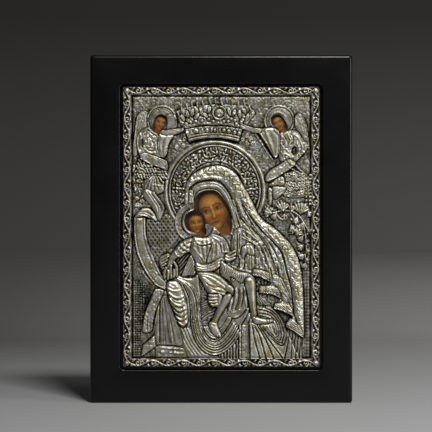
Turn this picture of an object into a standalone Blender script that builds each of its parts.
# A silver-covered icon panel, in metres, +Z up, standing on its lower edge.
# A black board has a recess; a painted panel lies in it, and over the panel one
# embossed silver cover with openings for the painted faces. The front faces -Y
# and the origin lies under the middle of the whole object's box.

import math

import bpy
import numpy as np

# Cover, painted panel and recess
COVER_WIDTH = 0.1585
COVER_HEIGHT = 0.2256
COVER_CORNER = 0.0028
SHEET_GROUND = 0.0016      # from the cover's back to its plain ground
RELIEF_REACH = 0.0046      # the highest relief above that ground
PANEL_THICKNESS = 0.0025
SEAT_GAP = 0.0003          # between pieces that lie on each other
RECESS_GAP = 0.0023        # open gap all round the cover
LIP_ROUND = 0.0009         # round on the recess's front edge

# Border of the cover
BORDER_WIDTH = 0.0061
BORDER_RISE = 0.0011
FILLET_WIDTH = 0.0013
GROOVE_WIDTH = 0.0013
SCROLL_PITCH = 0.0114
SCROLL_WIRE = 0.0010

# Board, given as the widths of its rails and the wood behind the recess
SIDE_RAIL = 0.0240
TOP_RAIL = 0.0232
BOTTOM_RAIL = 0.0266
BACK_WOOD = 0.0217
EDGE_ROUND = 0.0024

# The cover's drawing is laid out in squares, these many across and down
SQUARES_WIDE = 197.0
SQUARES_HIGH = 280.4
SQUARES_OVER = 1.5         # how far the slab reaches past the cover before it is trimmed
GRID_COLUMNS = 200
GRID_ROWS = 284
COVER_TRIANGLES = 8000

recess_width = COVER_WIDTH + 2 * RECESS_GAP
recess_height = COVER_HEIGHT + 2 * RECESS_GAP
recess_depth = 2 * SEAT_GAP + PANEL_THICKNESS + SHEET_GROUND + BORDER_RISE
board_width = recess_width + 2 * SIDE_RAIL
board_height = recess_height + TOP_RAIL + BOTTOM_RAIL
board_thickness = recess_depth + BACK_WOOD
cover_middle = BOTTOM_RAIL + RECESS_GAP + COVER_HEIGHT / 2

whole_depth = board_thickness + max(RELIEF_REACH - BORDER_RISE, 0.0)
back_face = whole_depth / 2
front_face = back_face - board_thickness
recess_floor = front_face + recess_depth
panel_back = recess_floor - SEAT_GAP
panel_front = panel_back - PANEL_THICKNESS
cover_back = panel_front - SEAT_GAP

square_wide = COVER_WIDTH / SQUARES_WIDE
square_high = COVER_HEIGHT / SQUARES_HIGH


def material(name, colour, roughness, metallic):
    made = bpy.data.materials.new(name)
    made.use_nodes = True
    shader = made.node_tree.nodes["Principled BSDF"]
    shader.inputs["Base Color"].default_value = (*colour, 1.0)
    shader.inputs["Roughness"].default_value = roughness
    shader.inputs["Metallic"].default_value = metallic
    made.diffuse_color = (*colour, 1.0)
    return made


def add_object(name, vertices, faces, finish=None):
    mesh = bpy.data.meshes.new(name)
    mesh.from_pydata(vertices, [], faces)
    mesh.update()
    made = bpy.data.objects.new(name, mesh)
    bpy.context.collection.objects.link(made)
    if finish is None:
        made.display_type = "WIRE"
        made.hide_render = True
    else:
        mesh.materials.append(finish)
    return made


def cut(target, cutter, operation="DIFFERENCE"):
    step = target.modifiers.new(operation.lower() + "_" + cutter.name, "BOOLEAN")
    step.operation = operation
    step.solver = "EXACT"
    step.object = cutter


def loft(name, loops, finish=None):
    # Closed solid through loops of (x, z) points at given y, from the back to the front.
    count = len(loops[0][0])
    vertices = []
    for points, y in loops:
        vertices += [(x, y, z) for x, z in points]
    faces = [list(range(count))]
    for ring in range(len(loops) - 1):
        low = ring * count
        for k in range(count):
            after = (k + 1) % count
            faces.append([low + k, low + count + k, low + count + after, low + after])
    last = (len(loops) - 1) * count
    faces.append([last + k for k in reversed(range(count))])
    return add_object(name, vertices, faces, finish)


def rounded_rectangle(width, height, middle, radius, steps=5):
    # Clockwise seen from the front, so that a loft's faces point out.
    points = []
    corners = ((1, 1, 90), (1, -1, 0), (-1, -1, -90), (-1, 1, -180))
    for side, rise, start in corners:
        for k in range(steps + 1):
            angle = math.radians(start - 90 * k / steps)
            points.append((side * (width / 2 - radius) + radius * math.cos(angle),
                           middle + rise * (height / 2 - radius) + radius * math.sin(angle)))
    return points


def board(finish):
    # Box with all its edges rounded, and a recess whose front edge flares in a quarter round.
    loops = []
    steps = 4
    for k in range(steps + 1):
        angle = math.pi / 2 * k / steps
        inset = EDGE_ROUND * (1 - math.sin(angle))
        loops.append((inset, back_face - EDGE_ROUND * (1 - math.cos(angle))))
    loops += [(inset, front_face + back_face - y) for inset, y in reversed(loops)]
    outlines = [(rounded_rectangle(board_width - 2 * inset, board_height - 2 * inset, board_height / 2,
                                   EDGE_ROUND, 3), y) for inset, y in loops]
    made = loft("board", outlines, finish)
    past = 0.002
    corner = COVER_CORNER + RECESS_GAP / 2
    flare = [(0.0, recess_floor), (0.0, front_face + LIP_ROUND)]
    for k in range(1, steps + 1):
        angle = math.pi / 2 * k / steps
        flare.append((LIP_ROUND * (1 - math.cos(angle)), front_face + LIP_ROUND * (1 - math.sin(angle))))
    flare.append((LIP_ROUND, front_face - past))
    cutter = loft("recess_cutter",
                  [(rounded_rectangle(recess_width + 2 * out, recess_height + 2 * out, cover_middle,
                                      corner + out), y) for out, y in flare])
    cut(made, cutter)
    return made


def painted_panel(finish):
    outline = rounded_rectangle(COVER_WIDTH, COVER_HEIGHT, cover_middle, COVER_CORNER)
    return loft("painted_panel", [(outline, panel_back), (outline, panel_front)], finish)


def curve(points, steps=5, closed=False):
    # Catmull-Rom curve: each stretch leaves and reaches its points along their neighbours.
    p = np.array(points, dtype=float)
    if closed:
        p = np.vstack((p[-1:], p, p[:2]))
    else:
        p = np.vstack((2 * p[0] - p[1], p, 2 * p[-1] - p[-2]))
    t = np.linspace(0.0, 1.0, steps, endpoint=False)[:, None]
    runs = []
    for a, b, c, d in zip(p[:-3], p[1:-2], p[2:-1], p[3:]):
        runs.append(0.5 * (2 * b + (c - a) * t + (2 * a - 5 * b + 4 * c - d) * t ** 2
                           + (3 * b - a - 3 * c + d) * t ** 3))
    if not closed:
        runs.append(p[-2:-1])
    return np.vstack(runs)


def between(first, last, count):
    # A family of curves that turns the first one evenly into the last one.
    a = curve(first)
    b = curve(last)
    return [a + (b - a) * share for share in np.linspace(0.0, 1.0, count)]


def strip(first, last):
    # The closed outline between two curves that run the same way.
    return np.vstack((curve(first), curve(last)[::-1]))


def arc(cx, cy, radius, start, end, steps=24, tall=1.0):
    # Angles in degrees, clockwise from the right, as the drawing's rows run down.
    a = np.radians(np.linspace(start, end, steps))
    return np.stack((cx + radius * np.cos(a), cy + radius * tall * np.sin(a)), axis=1)


class Relief:
    """Heights over the cover's ground on a grid of drawing squares, worked from back to front."""

    def __init__(self):
        self.x = np.linspace(-SQUARES_OVER, SQUARES_WIDE + SQUARES_OVER, GRID_COLUMNS)
        self.y = np.linspace(-SQUARES_OVER, SQUARES_HIGH + SQUARES_OVER, GRID_ROWS)
        self.height = np.zeros((GRID_ROWS, GRID_COLUMNS))

    def window(self, points, reach):
        low = points.min(axis=0) - reach
        high = points.max(axis=0) + reach
        columns = slice(*np.searchsorted(self.x, (low[0], high[0])))
        rows = slice(*np.searchsorted(self.y, (low[1], high[1])))
        return (rows, columns), self.x[None, columns], self.y[rows, None]

    def near(self, path, reach):
        # Distance to a path, and how far along it the nearest point is, from 0 to 1.
        where, x, y = self.window(path, reach)
        best = np.full((y.size, x.size), 1e6)
        place = np.zeros_like(best)
        steps = np.diff(path, axis=0)
        lengths = np.maximum(np.hypot(steps[:, 0], steps[:, 1]), 1e-9)
        starts = np.concatenate(([0.0], np.cumsum(lengths)))
        for (px, py), (sx, sy), length, start in zip(path[:-1], steps, lengths, starts):
            t = np.clip(((x - px) * sx + (y - py) * sy) / length ** 2, 0.0, 1.0)
            distance = np.hypot(x - px - t * sx, y - py - t * sy)
            closer = distance < best
            best = np.where(closer, distance, best)
            place = np.where(closer, (start + t * length) / starts[-1], place)
        return where, best, place

    def inside(self, outline, reach):
        # Depth inside a closed outline, less than zero outside it.
        loop = np.vstack((outline, outline[:1]))
        where, distance, _ = self.near(loop, reach)
        x, y = self.x[None, where[1]], self.y[where[0], None]
        odd = np.zeros(distance.shape, dtype=bool)
        for (ax, ay), (bx, by) in zip(loop[:-1], loop[1:]):
            if ay != by:
                odd ^= ((ay > y) != (by > y)) & (x < (bx - ax) * (y - ay) / (by - ay) + ax)
        return where, np.where(odd, distance, -distance)

    def ridges(self, paths, width, rise):
        # Rounded ridges laid on what is there; where they meet, the higher one counts.
        ends = np.broadcast_to(width, 2)
        layer = np.zeros_like(self.height)
        for path in paths:
            where, distance, place = self.near(path, max(ends))
            half = ends[0] + (ends[1] - ends[0]) * place
            bump = 0.5 + 0.5 * np.cos(math.pi * np.clip(distance / half, 0.0, 1.0))
            layer[where] = np.maximum(layer[where], bump)
        self.height += rise * layer

    def raised(self, where, depth, top, moat):
        # Puts a form in place, with a chased line sunk round it.
        sunk = self.height[where] - moat * np.exp(-(depth / 0.9) ** 2)
        self.height[where] = np.where(depth > 0, top, sunk)

    def limb(self, path, radii, level, bulge, moat=0.35):
        # Half a tube along a path, its radius running evenly through the given ones.
        where, distance, place = self.near(path, max(radii) + 3.0)
        radius = np.interp(place, np.linspace(0.0, 1.0, len(radii)), radii)
        top = level + bulge * np.sqrt(np.clip(1 - (distance / radius) ** 2, 0.0, 1.0))
        self.raised(where, radius - distance, top, moat)

    def dome(self, cx, cy, rx, ry, turn, level, bulge, moat=0.25):
        # Part of an ellipsoid, turned by some degrees.
        where, x, y = self.window(np.array([[cx, cy]]), max(rx, ry) + 3.0)
        c = math.cos(math.radians(turn))
        s = math.sin(math.radians(turn))
        d = np.hypot(((x - cx) * c + (y - cy) * s) / rx, ((y - cy) * c - (x - cx) * s) / ry)
        top = level + bulge * np.sqrt(np.clip(1 - d * d, 0.0, 1.0))
        self.raised(where, (1 - d) * min(rx, ry), top, moat)

    def mass(self, outline, level, edge, low=0.5, moat=0.35):
        # Cloth or another broad form: a flat top that rolls off towards its outline.
        where, depth = self.inside(outline, 3.0)
        roll = 1 - np.clip(1 - depth / edge, 0.0, 1.0) ** 2
        self.raised(where, depth, level * (low + (1 - low) * roll), moat)

    def disc(self, cx, cy, radius, level):
        distance = np.hypot(self.x[None, :] - cx, self.y[:, None] - cy)
        self.height = np.where(distance < radius, level, self.height)


def great_halo(r):
    cx, cy = 92.0, 104.0
    r.disc(cx, cy, 51.0, 0.45)
    for radius, width, rise in ((49.0, 2.4, 1.2), (45.2, 1.3, 0.8), (30.4, 1.3, 0.8)):
        r.ridges([arc(cx, cy, radius, 0, 360, 60)], width, rise)
    leaves = 22
    for k in range(leaves):
        for radius, turn, size, lean in ((39.8, 0.0, 3.6, 55), (34.6, 0.5, 3.0, -40)):
            angle = 360 * (k + turn) / leaves
            a = math.radians(angle)
            r.dome(cx + radius * math.cos(a), cy + radius * math.sin(a), size, 0.65 * size, angle + lean,
                   0.5, 1.0, 0.2)


def crown(r):
    rays = 13
    for k in range(rays):
        s = 2 * k / (rays - 1) - 1
        r.ridges([np.array(((94.0 + 31 * s, 20.0 + 2.0 * s * s), (93.0 + 34 * s, 12.5 + 3.5 * s * s)))],
                 (1.3, 1.8), 1.3)
    r.mass(curve([(55, 26), (60, 21), (80, 19.5), (97, 18.5), (113, 19.5), (130, 21), (132, 27), (121, 40),
                  (106, 38), (90, 37), (75, 38), (61, 40.5)], closed=True), 1.4, 3.0)
    for cx, cy, lean in ((60, 26, 20), (68.5, 27, 8), (77, 25, -15), (86, 25, -12), (107, 25, 12),
                         (116.5, 27.5, -20), (125, 28, 10)):
        r.dome(cx, cy, 2.4, 5.6, lean, 1.4, 1.5)
    for s in np.linspace(-1.0, 1.0, 9):
        r.dome(95 + 30 * s, 33.5 + 2.0 * s * s, 2.6, 1.8, 20 * s, 1.4, 1.1)
    r.dome(96.5, 26.0, 7.0, 6.4, 0, 1.6, 1.3)
    top = [(60, 40.5), (75, 38), (90, 37.5), (105, 38.2), (120, 42)]
    low = [(66, 54), (78, 51.4), (90, 50.8), (103, 51.8), (116, 55.8)]
    r.mass(strip(top, low), 2.4, 1.6, 0.6, 0.9)
    r.ridges([curve(top) + (curve(low) - curve(top)) * share for share in (0.12, 0.9)], 1.5, 0.9)
    for px, py in ((curve(top) + curve(low)) / 2)[1::2]:
        r.dome(px, py, 2.0, 2.2, 0, 2.3, 1.0)


def left_angel(r):
    r.disc(39, 34, 14.6, 0.5)
    r.ridges([arc(39, 34, 13.6, 0, 360, 40)], 1.4, 0.8)
    r.mass(curve([(12, 68), (11, 56), (12, 42), (14, 33), (17, 27), (21, 24.3), (25, 25.5), (24, 36),
                  (26, 40), (22, 47), (17, 60)], closed=True), 1.4, 2.6)
    r.ridges(between([(15, 34), (12.5, 46), (12, 64)], [(23, 28), (22, 36), (18, 48)], 3), 1.3, 0.6)
    r.mass(curve([(26, 41), (20, 43.5), (15, 50), (15, 60), (18, 67), (28, 68.5), (39, 69), (38, 56),
                  (38, 46), (33.5, 48)], closed=True), 2.0, 3.0)
    r.limb(curve([(24, 44), (17, 48), (15.2, 56), (17.5, 66)]), (3.6, 2.4, 2.0, 2.2), 1.4, 1.5)
    r.ridges(between([(25, 52), (22, 60), (24, 67)], [(34, 52), (33, 60), (35, 67)], 3), 1.4, 0.7)
    r.mass(curve([(38, 43), (34.8, 59), (37, 66), (40, 69.5), (44, 66), (48, 57), (52, 46), (46, 42)],
                 closed=True), 2.6, 3.0)
    r.ridges(between([(38, 45), (36.4, 56), (39.5, 68)], [(47.5, 46), (46.5, 57), (41, 67)], 3), 1.5, 0.8)
    r.limb(curve([(38, 45), (48, 43.2), (58, 43.4)]), (3.0, 2.6, 2.0), 2.0, 1.5)
    r.dome(61.5, 42, 3.0, 2.0, -20, 2.2, 1.3)
    r.ridges([curve([(26, 41), (29.5, 45), (35, 48.5)])], 1.8, 1.2)
    r.limb(curve([(18, 70), (30, 72.5), (42, 77.5)]), (3.4, 4.6, 5.0), 1.2, 2.0)


def right_angel(r):
    r.disc(156.5, 34.5, 15.4, 0.5)
    r.ridges([arc(156.5, 34.5, 14.4, 0, 360, 40)], 1.4, 0.8)
    r.mass(curve([(174, 41), (173, 31), (175.5, 27), (179, 28), (183, 35), (185.8, 45), (187, 57), (182, 58),
                  (176, 50)], closed=True), 1.4, 2.6)
    r.mass(curve([(133, 44), (142, 43), (152, 43), (158, 46), (157.5, 57), (152.5, 70.5), (148, 68),
                  (140, 58)], closed=True), 2.2, 3.0)
    r.ridges(between([(132.5, 47.5), (140, 58), (149, 71)], [(157, 48), (157, 58), (153.5, 69)], 4), 1.6, 0.9)
    r.mass(curve([(158, 48), (165, 47), (172, 44), (178, 47), (180, 53), (172, 56), (168, 60), (168.5, 66),
                  (170, 74), (158, 78), (156, 68)], closed=True), 2.2, 3.0)
    r.ridges(between([(160, 52), (160, 62), (157, 74)], [(170, 50), (166, 60), (166, 70)], 3), 1.4, 0.7)
    r.limb(curve([(174, 47), (180.5, 52.5), (183, 59), (178, 68), (170, 73.5)]), (3.6, 3.6, 3.0, 2.4), 1.5, 1.7)
    r.limb(curve([(142, 43.5), (132, 42.5), (121, 39)]), (2.2, 2.0, 1.6), 1.8, 1.3)
    r.limb(curve([(147.5, 91), (157, 83.5), (168, 78)]), (4.6, 6.0, 4.6), 1.2, 2.2)
    r.mass(curve([(149.5, 98), (155, 92.5), (161, 90.5), (162, 99)], closed=True), 1.5, 2.0)
    r.mass(curve([(150, 101), (161, 101.5), (163, 104), (150, 112)], closed=True), 1.4, 2.0)
    r.limb(curve([(147.5, 105), (147.5, 117)]), (1.8, 1.8), 0.6, 1.0)


def clouds(r):
    for row in range(4):
        for column in range(6):
            x = 14.0 + 5.6 * column + 2.4 * (row % 2)
            r.dome(x, 81.0 + 5.6 * row - 0.25 * (x - 26), 3.2, 2.8, 30 * row, 0.5, 1.4, 0.2)
            r.dome(163.5 + 4.9 * column, 90 + 5.6 * row, 2.9, 2.8, 30 * row, 0.6, 1.4, 0.2)
    r.mass(curve([(24, 91), (36, 91), (41, 103), (34, 107), (22, 107), (19, 104)], closed=True), 1.2, 3.0)
    r.ridges(between([(26, 92), (22, 99), (20, 105)], [(35, 93), (38, 98), (40.5, 103)], 4), 1.6, 0.9)


def foliage(r):
    leaves = (((143, 124), (149, 125.5), (156, 123)), ((152, 118), (157, 114), (161, 120)),
              ((160, 125), (168, 124), (174, 133)), ((163, 118), (169, 121), (176, 117)),
              ((174, 128), (181, 134), (185, 140)), ((177, 113), (181, 114), (184, 120)),
              ((153, 131), (158, 128), (163, 133)), ((165, 138), (169, 147), (178, 144)),
              ((171, 136), (174, 131), (178, 137)), ((181, 143), (183, 147), (185, 152)),
              ((176, 151), (178, 157), (182, 160)), ((181, 156), (184, 161), (185, 166)),
              ((179, 164), (181, 170), (184, 176)))
    for leaf in leaves:
        r.limb(curve(leaf), (0.9, 2.3, 0.8), 0.3, 1.5, 0.3)


def ribbon(r):
    r.mass(curve([(24, 103), (31, 107), (37, 114), (41.5, 121), (40, 127), (35, 134), (32, 126), (26, 117),
                  (20, 109)], closed=True), 1.6, 3.0)
    r.ridges([curve([(30, 106), (36, 113), (40.5, 121), (37, 129)])], 2.2, 1.2)
    outer = [(11.5, 131), (11.2, 141), (11.8, 152), (14, 165), (19, 178), (26, 190), (34, 199), (43, 203)]
    inner = [(22.5, 131), (22.7, 141), (23.2, 150), (25, 160), (28, 168), (32, 177), (37, 187), (43, 194)]
    r.mass(strip(outer, inner), 1.7, 2.6)
    r.ridges([0.9 * curve(outer) + 0.1 * curve(inner)], 1.4, 0.9)
    r.ridges([0.1 * curve(outer) + 0.9 * curve(inner)], (1.4, 2.6), 1.4)
    r.mass(curve([(12, 131), (16, 125), (22, 122), (29, 124.5), (34, 134), (26, 131), (18, 129)], closed=True),
           1.8, 2.2)
    r.ridges([curve([(12, 131), (16, 125.5), (22, 122.8), (29, 125.5), (33.5, 133)])], 1.7, 0.9)


def mother(r):
    veil = [(62, 121), (61.8, 108), (64, 97), (69, 87.5), (77, 82), (88, 79.3), (96, 79), (104, 81), (113, 86.5),
            (120, 96.5), (127, 110), (133, 125), (141, 134), (154, 140), (166, 151), (174, 164), (178, 180),
            (180, 200), (181, 225), (181, 250)]
    hem = [(63, 121), (63.6, 112), (66.5, 103), (72, 97.5), (80, 95), (90, 94.5), (97, 96.5), (103, 102),
           (108, 110.5), (112, 120), (115.5, 130), (120, 140), (124, 150), (127, 160), (128, 170), (128, 184),
           (137, 206), (149, 219), (161, 236), (176, 248)]
    seam = [(112, 86.5), (121, 101), (129, 120), (140, 140), (153, 160), (162, 180), (167, 200), (171, 225),
            (176, 243)]
    body = veil + [(181, 272), (60, 272), (54, 241), (48, 204), (52, 186), (60, 168), (64, 150)]
    r.mass(curve(body, closed=True), 1.6, 4.0, 0.4, 0.6)
    r.mass(strip(veil, hem), 2.8, 5.0, 0.5, 0.5)
    r.mass(strip(veil[8:], seam), 3.6, 4.5, 0.45, 0.5)
    r.ridges(between([(109, 104), (116, 122), (124, 142), (133, 160), (141, 178), (147, 190)],
                     [(112, 92), (122, 112), (133, 133), (146, 155), (156, 177), (164, 205)], 5), (1.3, 2.3), 1.1)
    rim = [(63.5, 121), (64, 112), (67, 103.5), (72.5, 98.5), (80, 96), (90, 95.5), (96.5, 97.5), (102.5, 103),
           (107.5, 111.5), (112, 122), (116, 134), (119, 148)]
    cap = [(68, 121), (68, 113), (71.5, 106), (77, 102.5), (84, 101.5), (92, 101.5), (98, 105), (103.5, 113),
           (108, 123), (110.5, 134), (111, 145), (112, 152)]
    r.mass(strip(rim, cap), 2.6, 2.0, 0.6, 0.6)
    r.ridges([curve(rim)], 1.4, 0.9)
    r.mass(curve([(82, 136), (92, 142), (97, 147), (92, 150), (84, 148)], closed=True), 2.6, 2.0)


def hem_steps(r):
    steps = (((128, 183), (147, 193.5), (158, 176)), ((137, 205.5), (157, 211.5), (165, 196)),
             ((149, 219), (170, 229), (172, 212)), ((161.5, 236.5), (181, 250.5), (179, 230)))
    for inner, tip, upper in steps:
        middle = ((inner[0] + tip[0]) / 2, (inner[1] + tip[1]) / 2 - 0.5)
        flap = curve([inner, middle, tip, upper, (inner[0] + 4, inner[1] - 6)], 4, closed=True)
        r.mass(flap, 3.6, 3.0, 0.75, 1.0)
        r.ridges([np.array((inner, tip))], 1.6, 0.7)


def chest(r):
    r.ridges(between([(109, 150), (110, 164), (109, 178)], [(121, 142), (122, 152), (119, 166)], 4), 1.6, 0.9)
    r.dome(124.5, 163, 7.5, 5.5, -10, 2.2, 1.3)
    r.ridges(between([(122, 170), (122, 184)], [(130, 170), (131, 182)], 3), 1.3, 0.7)
    for k in range(3):
        y = 159 + 3.6 * k
        r.limb(curve([(99, y), (106, y + 1), (112, y - 1)]), (1.6, 1.5), 2.4, 1.1, 0.3)


def lap(r):
    r.mass(curve([(134, 219), (145, 220), (154, 226), (160, 235), (163, 247), (160, 258), (153, 262),
                  (142, 250), (134, 238)], closed=True), 3.0, 6.0, 0.5, 0.5)
    for size in (1.0, 0.74, 0.48, 0.22):
        r.ridges([arc(150, 243, 12.5 * size, -110, 80, 20, 1.5)], 1.6, 1.0)
    r.ridges(between([(131, 240), (129, 256), (128, 271)], [(144, 246), (152, 260), (163, 271)], 6),
             (1.4, 2.0), 1.2)
    r.ridges(between([(165, 250), (163, 261), (162, 271)], [(176, 252), (177, 262), (178, 271)], 4), 1.5, 1.0)
    r.ridges([np.array(((x, 238), (x, 271))) for x in (117, 126)], 1.2, 0.8)


def swag(r):
    outer = [(58, 199), (65, 203), (69, 213), (70, 228), (70.5, 242), (75, 256), (84, 265), (93, 267.5),
             (103, 263.5), (111, 256), (118, 246)]
    inner = [(57, 193.5), (66, 196), (73, 203), (77.5, 215), (78.5, 230), (79, 243), (84, 253), (91, 257.5),
             (98, 255), (106, 246), (112, 236)]
    r.mass(strip(outer, inner), 2.6, 2.5, 0.5, 0.6)
    r.ridges(between(outer, inner, 4), 1.9, 1.2)
    r.ridges(between([(80, 238), (83, 248), (90, 252.5), (97, 250), (105, 240), (110, 231)],
                     [(83, 236), (86, 243), (91, 246), (96, 244), (101, 238), (105, 230)], 3), 1.4, 1.0)
    r.ridges(between([(54, 242), (61, 254), (74, 268)], [(58, 242), (66, 252), (77, 265)], 3), 1.5, 1.0)


def hanging_cloths(r):
    r.mass(curve([(38, 207), (44, 206), (50, 222), (56, 240), (60, 258), (32, 258), (33, 236), (35, 220)],
                 closed=True), 1.0, 2.5)
    r.ridges(between([(39, 210), (34, 234), (33, 257)], [(46, 212), (54, 236), (58, 257)], 5), 1.5, 0.9)
    r.mass(np.array(((33, 259.5), (60, 259.5), (66, 272), (33, 272))), 1.0, 1.5)
    r.mass(curve([(33, 203), (41, 205), (38, 213), (32, 225), (27, 237), (24, 245), (20, 243.5), (21, 230),
                  (26, 215)], closed=True), 1.7, 2.0)
    r.mass(curve([(30, 249), (20, 257), (19.5, 268.5), (31.5, 261)], 3, closed=True), 1.7, 1.6)
    r.mass(curve([(44, 196), (52, 193), (57, 199), (61, 207), (65, 220), (66, 232), (65, 240), (58, 241),
                  (53, 233), (49, 220), (45.5, 208)], closed=True), 3.3, 4.0, 0.5, 0.8)
    for s in np.linspace(0.0, 1.0, 6):
        r.ridges([arc(53.5 + 6.5 * s, 203 + 28 * s, 6.2, 15, 165, 12, 0.9)], 1.5, 0.9)


def child(r):
    r.disc(71.6, 136, 19.5, 0.9)
    r.ridges([arc(71.6, 136, 18.6, 120, 240)], 1.3, 0.7)
    r.disc(71.6, 135, 12.4, 1.6)
    r.ridges([arc(71.6, 135, 11.0, 95, 275)], 1.4, 1.0)
    r.mass(curve([(67, 168), (60, 188), (72, 182)], 3, closed=True), 2.2, 2.0)
    r.mass(curve([(62, 153), (70, 150.5), (79, 151), (85, 146), (92, 144), (99, 149), (103.5, 155), (103, 163),
                  (97, 177), (85, 183), (73, 182), (72, 174), (68, 164)], closed=True), 3.6, 4.0, 0.6, 0.8)
    r.ridges(between([(70, 156), (73, 165), (76, 174)], [(99, 152), (97, 161), (92, 171)], 5), 1.6, 0.9)
    r.limb(curve([(66, 156), (56, 162), (49, 171), (46, 184)]), (5.4, 5.4, 5.0, 4.4), 2.2, 2.0, 0.6)
    r.ridges(between([(64, 154), (52, 162), (43, 178)], [(66, 162), (57, 167), (50, 182)], 3), 1.5, 0.7)
    for root, tip in (((44, 179), (42, 190)), ((47.5, 181), (47, 190)), ((51, 179), (52.5, 191)),
                      ((53.5, 176), (56, 187))):
        r.limb(np.array((root, tip)), (1.6, 1.2), 3.0, 1.2, 0.3)
    r.limb(curve([(98, 184), (113, 184), (127, 193)]), (7.0, 7.6, 5.6), 2.2, 2.2, 0.7)
    r.mass(curve([(108, 190), (124, 190), (125, 205), (123, 222), (116, 231), (109, 229), (106, 214)],
                 closed=True), 2.6, 3.0, 0.5, 0.6)
    r.ridges(between([(103, 179), (110, 194), (109, 210), (108, 226)],
                     [(120, 184), (124, 196), (122, 212), (118, 227)], 4), 1.6, 0.9)
    r.limb(curve([(84, 190), (94, 196), (104, 203)]), (6.8, 7.6, 6.4), 2.8, 2.4, 0.8)
    r.ridges(between([(79, 196), (88, 203), (99, 208)], [(84, 186), (98, 190), (109, 201)], 4), 1.6, 0.9)
    r.ridges(between([(72, 176), (84, 178), (98, 170)], [(72, 183), (85, 184.5), (100, 177)], 3), 1.5, 1.0)
    r.limb(curve([(104, 209), (99, 220), (93.5, 233)]), (4.4, 4.0, 2.4), 2.4, 2.2, 0.8)
    r.limb(curve([(91, 235), (92.5, 242), (96, 249)]), (3.2, 3.2, 2.2), 2.2, 1.6, 0.7)
    r.limb(curve([(127, 198), (129, 212), (131.5, 229)]), (4.6, 4.2, 2.6), 2.4, 2.2, 0.8)
    r.limb(curve([(131, 233), (139, 234.5), (148, 234)]), (3.0, 2.6, 1.8), 2.2, 1.6, 0.7)
    r.dome(94.5, 213, 5.6, 6.0, 20, 2.4, 1.0, 0.5)
    for k in range(4):
        r.limb(curve([(94, 210.5 + 2.9 * k), (90.5, 209.5 + 3.1 * k), (86.8, 207.8 + 3.3 * k)]), (1.5, 1.2),
               2.8, 1.0, 0.3)


def border(r, heights):
    # A rolled edge and a vine that waves along each side, with a bud in each bend.
    x = r.x[None, :] * square_wide
    y = r.y[:, None] * square_high
    across = np.minimum(x, COVER_WIDTH - x)
    down = np.minimum(y, COVER_HEIGHT - y)
    edge = np.minimum(across, down)
    banded = BORDER_WIDTH + FILLET_WIDTH
    flat = 0.55 * BORDER_RISE
    outer = 1 - np.clip(1 - edge / (0.2 * BORDER_WIDTH), 0.0, 1.0) ** 2
    inner = np.sqrt(np.clip((banded - edge) / (0.8 * FILLET_WIDTH), 0.0, 1.0))
    wave = np.zeros_like(heights)
    middle = BORDER_WIDTH / 2
    for along, length, side in ((y + 0 * x, COVER_HEIGHT, across), (x + 0 * y, COVER_WIDTH, down)):
        turns = max(round((length - 2 * BORDER_WIDTH) / SCROLL_PITCH), 2)
        phase = (along - BORDER_WIDTH) / (length - 2 * BORDER_WIDTH) * turns * 2 * math.pi
        vine = 1 - np.abs(side - middle - 0.32 * BORDER_WIDTH * np.sin(phase)) / SCROLL_WIRE
        bend = side - middle + 0.20 * BORDER_WIDTH * np.sin(phase)
        reach = (length - 2 * BORDER_WIDTH) / turns / 4 * np.cos(phase)
        bud = 1 - np.hypot(bend, reach * 0.6) / (1.3 * SCROLL_WIRE)
        wave = np.maximum(wave, np.where(edge == side, np.maximum(vine, bud), 0.0))
    swell = np.sin(0.5 * math.pi * np.clip(wave, 0.0, 1.0))
    band = flat * outer * inner + (BORDER_RISE - flat) * swell * (edge < BORDER_WIDTH)
    groove = np.exp(-((edge - banded - GROOVE_WIDTH / 2) / (0.6 * GROOVE_WIDTH)) ** 2)
    return np.where(edge < banded, band, heights) - 0.3 * BORDER_RISE * groove


def cover_heights():
    r = Relief()
    for form in (great_halo, crown, left_angel, right_angel, clouds, foliage, ribbon, mother, hem_steps, chest,
                 lap, swag, hanging_cloths, child):
        form(r)
    sunk = 0.3
    drawn = np.maximum(r.height, -sunk)
    scaled = np.where(drawn > 0, drawn * RELIEF_REACH / drawn.max(), drawn * 0.1 * SHEET_GROUND)
    return r, SHEET_GROUND + border(r, scaled)


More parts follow.
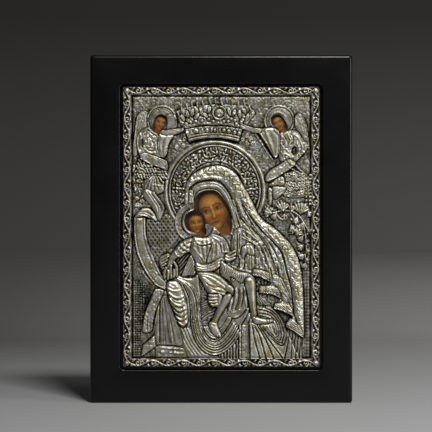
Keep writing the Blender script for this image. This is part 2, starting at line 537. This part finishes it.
def silver_cover(finish):
    # A slab whose front follows the relief, thinned to few faces, trimmed and pierced.
    r, heights = cover_heights()
    across, upright = np.meshgrid(r.x * square_wide - COVER_WIDTH / 2,
                                  cover_middle + COVER_HEIGHT / 2 - r.y * square_high)
    front = np.stack((across, cover_back - heights, upright), axis=-1).reshape(-1, 3)
    index = np.arange(GRID_ROWS * GRID_COLUMNS).reshape(GRID_ROWS, GRID_COLUMNS)
    quads = np.stack((index[:-1, :-1], index[1:, :-1], index[1:, 1:], index[:-1, 1:]), axis=-1).reshape(-1, 4)
    rim = np.concatenate((index[:-1, 0], index[-1, :-1], index[:0:-1, -1], index[0, :0:-1]))
    behind = front[rim].copy()
    behind[:, 1] = cover_back
    back = len(front) + np.arange(len(rim))
    walls = np.stack((rim, back, np.roll(back, -1), np.roll(rim, -1)), axis=-1)
    faces = quads.tolist() + walls.tolist() + [back[::-1].tolist()]
    made = add_object("silver_cover", np.vstack((front, behind)).tolist(), faces, finish)
    thin = made.modifiers.new("thin_out", "DECIMATE")
    thin.ratio = COVER_TRIANGLES / (2 * len(quads) + 3 * len(rim))
    past = 0.01
    trim = rounded_rectangle(COVER_WIDTH, COVER_HEIGHT, cover_middle, COVER_CORNER)
    cut(made, loft("trim_cutter", [(trim, cover_back + past), (trim, cover_back - past)]), "INTERSECT")
    for name, outline in openings().items():
        points = [(-COVER_WIDTH / 2 + px * square_wide, cover_middle + COVER_HEIGHT / 2 - py * square_high)
                  for px, py in outline]
        cut(made, loft(name + "_cutter", [(points, cover_back + past), (points, cover_back - past)]))
    return made


def openings():
    # Outlines of the openings for the heads and necks, clockwise as drawn.
    heads = [(72, 113), (76, 106.5), (83, 103.5), (92, 103.5), (98, 108), (103.5, 116), (107.5, 125), (109.3, 134),
             (109, 142), (107, 147.5), (102.5, 149), (97, 146), (92.5, 141), (88, 138), (83.5, 137.5),
             (82.8, 141), (84, 145.5), (81.5, 149.5), (76, 149.8), (73, 146.5), (66, 144), (62, 138), (62, 130),
             (66, 125.5), (71, 123), (71.5, 118)]
    left = [(33, 30), (38, 27.2), (43, 29.6), (44.5, 35), (41.5, 41), (37, 45.8), (33, 45.5), (29.8, 42),
            (30.5, 36)]
    right = [(149, 30), (153.5, 27.2), (158.5, 28.5), (162, 33), (165.2, 40), (163.5, 45.5), (160, 46),
             (155.5, 42), (150, 38), (148, 34)]
    return {
        "two_heads": curve(heads, 3, closed=True),
        "left_head": curve(left, 3, closed=True),
        "right_head": curve(right, 3, closed=True),
    }


def main():
    for old in list(bpy.data.objects):
        bpy.data.objects.remove(old, do_unlink=True)
    board(material("black satin lacquer on wood", (0.006, 0.006, 0.007), 0.38, 0.0))
    painted_panel(material("tempera on wood", (0.30, 0.14, 0.04), 0.5, 0.0))
    silver_cover(material("oxidised silver", (0.56, 0.55, 0.51), 0.36, 1.0))


main()
